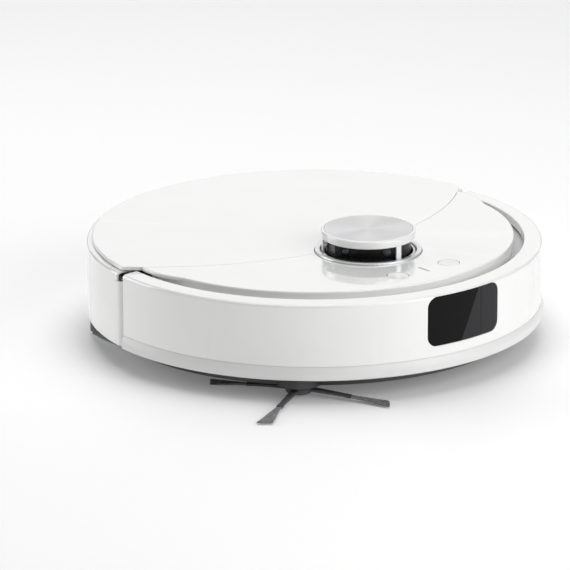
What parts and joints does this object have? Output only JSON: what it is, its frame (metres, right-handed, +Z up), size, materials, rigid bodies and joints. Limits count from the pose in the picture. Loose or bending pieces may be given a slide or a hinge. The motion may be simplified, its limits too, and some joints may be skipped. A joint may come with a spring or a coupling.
{
  "type": "robot vacuum",
  "caption": "Round robot vacuum with a lidar turret, a hinged lid over its dust box, a sprung front bumper, drive wheels, brushes and a rear mop module.",
  "frame": {"origin": "on the floor under the centre of the round body", "axes": "+Z up, -Y to the front bumper, +X to the robot's left"},
  "size_m": [0.351, 0.349, 0.0966],
  "materials": {
    "shell_white": "high gloss, injection moulded",
    "lip_white": "satin white",
    "button_white": "gloss",
    "window_black": "smoked, high gloss",
    "chassis_plastic": "fine spark texture",
    "frame_plastic": "satin grey",
    "collar_metal": "satin plated ring",
    "disc_metal": "spun, radial highlights",
    "rotor_black": "satin black",
    "lens_glass": "coated lens",
    "belt_rubber": "matt",
    "steel": "bright zinc",
    "contact_metal": "plated contact",
    "board": "solder mask",
    "battery_wrap": "shrink wrap",
    "speaker_cone": "paper cone in a plastic basket",
    "impeller_plastic": "natural plastic",
    "bin_smoke": "smoked plastic",
    "filter_media": "pleated paper",
    "roller_plastic": "orange moulding",
    "blade_rubber": "soft rubber",
    "brush_rubber": "soft rubber",
    "bristle": "nylon tufts",
    "hub_plastic": "satin",
    "tread": "ribbed rubber",
    "tank_plastic": "smoked plastic",
    "mop_cloth": "short looped microfibre"
  },
  "bodies": {
    "chassis": {"chassis": "chassis_plastic", "top_frame": "frame_plastic", "rear_shell": "shell_white", "front_panel": "shell_white", "hinge_pins": "steel", "status_light": "window_black", "lidar_collar": "collar_metal", "lidar_base": "frame_plastic", "lidar_cover": "shell_white", "lidar_disc": "disc_metal", "lidar_motor": "steel", "lidar_belt": "belt_rubber", "sensor_module": "board", "battery": "battery_wrap", "battery_cover": "chassis_plastic", "main_board": "board", "speaker": "speaker_cone", "fan_housing": "chassis_plastic", "exhaust_grille": "chassis_plastic", "dock_window": "window_black", "charge_contacts": "contact_metal", "cliff_windows": "window_black", "chassis_screws": "steel", "roller_cover": "roller_plastic", "roller_gearbox": "frame_plastic", "roller_motor": "steel", "side_brush_motor": "chassis_plastic", "suspension_pins": "steel", "suspension_springs": "steel"},
    "bumper": {"bumper": "shell_white", "bumper_lip": "lip_white", "sensor_window": "window_black"},
    "lid": {"lid": "shell_white"},
    "power_button": {"power_button": "button_white"},
    "dock_button": {"dock_button": "button_white"},
    "lidar_rotor": {"lidar_rotor": "rotor_black", "lidar_lenses": "lens_glass"},
    "lidar_pulley": {"lidar_pulley": "rotor_black"},
    "fan_impeller": {"fan_impeller": "impeller_plastic"},
    "dustbin": {"dustbin": "bin_smoke", "dustbin_cover": "bin_smoke", "dust_filter": "filter_media"},
    "roller": {"roller_core": "roller_plastic", "roller_blades": "blade_rubber"},
    "side_brush": {"side_brush_arms": "brush_rubber", "side_brush_bristles": "bristle"},
    "left_arm": {"drive_arm_left": "frame_plastic"},
    "right_arm": {"drive_arm_right": "frame_plastic"},
    "left_wheel": {"hub_left": "hub_plastic", "tyre_left": "tread"},
    "right_wheel": {"hub_right": "hub_plastic", "tyre_right": "tread"},
    "caster_fork": {"caster_fork": "hub_plastic"},
    "caster_wheel": {"caster_wheel": "tread"},
    "mop_module": {"water_tank": "tank_plastic", "mop_bracket": "frame_plastic", "mop_pad": "mop_cloth"},
    "left_latch": {"latch_left": "roller_plastic"},
    "right_latch": {"latch_right": "roller_plastic"}
  },
  "joints": [
    {"name": "bumper_press", "type": "slide", "parent": "chassis", "child": "bumper", "axis": [0, 1, 0], "range_m": [0, 0.0025], "stiffness_N_per_m": 400, "springref_m": -0.002},
    {"name": "lid_hinge", "type": "hinge", "parent": "chassis", "child": "lid", "pos_m": [0, 0.166, 0.0744], "axis": [-1, 0, 0], "range_deg": [0, 75]},
    {"name": "dustbin_lift", "type": "slide", "parent": "chassis", "child": "dustbin", "axis": [0, 0, 1], "range_m": [0, 0.0275]},
    {"name": "power_button_press", "type": "slide", "parent": "chassis", "child": "power_button", "axis": [0, 0, -1], "range_m": [0, 0.0008], "stiffness_N_per_m": 300, "springref_m": -0.001},
    {"name": "dock_button_press", "type": "slide", "parent": "chassis", "child": "dock_button", "axis": [0, 0, -1], "range_m": [0, 0.0008], "stiffness_N_per_m": 300, "springref_m": -0.001},
    {"name": "lidar_spin", "type": "hinge", "parent": "chassis", "child": "lidar_rotor", "pos_m": [0, -0.0633, 0.0846], "axis": [0, 0, 1], "continuous": true},
    {"name": "lidar_pulley_spin", "type": "hinge", "parent": "chassis", "child": "lidar_pulley", "pos_m": [0.03811, -0.0853, 0.074], "axis": [0, 0, 1], "continuous": true},
    {"name": "fan_spin", "type": "hinge", "parent": "chassis", "child": "fan_impeller", "pos_m": [0.09, 0.09, 0.045], "axis": [1, 0, 0], "continuous": true},
    {"name": "roller_spin", "type": "hinge", "parent": "chassis", "child": "roller", "pos_m": [0, 0.022, 0.021], "axis": [1, 0, 0], "continuous": true},
    {"name": "side_brush_spin", "type": "hinge", "parent": "chassis", "child": "side_brush", "pos_m": [-0.105, -0.1085, 0.005], "axis": [0, 0, 1], "continuous": true},
    {"name": "left_suspension", "type": "hinge", "parent": "chassis", "child": "left_arm", "pos_m": [0.091, -0.038, 0.042], "axis": [-1, 0, 0], "range_deg": [0, 22], "stiffness_Nm_per_rad": 0.5, "springref_deg": 22},
    {"name": "right_suspension", "type": "hinge", "parent": "chassis", "child": "right_arm", "pos_m": [-0.091, -0.038, 0.042], "axis": [-1, 0, 0], "range_deg": [0, 22], "stiffness_Nm_per_rad": 0.5, "springref_deg": 22},
    {"name": "left_wheel_spin", "type": "hinge", "parent": "left_arm", "child": "left_wheel", "pos_m": [0.113, 0.005, 0.032], "axis": [1, 0, 0], "continuous": true},
    {"name": "right_wheel_spin", "type": "hinge", "parent": "right_arm", "child": "right_wheel", "pos_m": [-0.113, 0.005, 0.032], "axis": [1, 0, 0], "continuous": true},
    {"name": "caster_swivel", "type": "hinge", "parent": "chassis", "child": "caster_fork", "pos_m": [0, -0.132, 0.03], "axis": [0, 0, 1], "continuous": true},
    {"name": "caster_spin", "type": "hinge", "parent": "caster_fork", "child": "caster_wheel", "pos_m": [0, -0.128, 0.013], "axis": [1, 0, 0], "continuous": true},
    {"name": "mop_slide", "type": "slide", "parent": "chassis", "child": "mop_module", "axis": [0, 1, 0], "range_m": [0, 0.115]},
    {"name": "left_latch_slide", "type": "slide", "parent": "chassis", "child": "left_latch", "axis": [-1, 0, 0], "range_m": [0, 0.0016], "stiffness_N_per_m": 200, "springref_m": -0.001},
    {"name": "right_latch_slide", "type": "slide", "parent": "chassis", "child": "right_latch", "axis": [1, 0, 0], "range_m": [0, 0.0016], "stiffness_N_per_m": 200, "springref_m": -0.001}
  ],
  "couplings": [
    {"joint": "lidar_pulley_spin", "follows": "lidar_spin", "ratio": 4.4},
    {"joint": "dustbin_lift", "follows": "lid_hinge", "m_per_rad": 0.02}
  ]
}
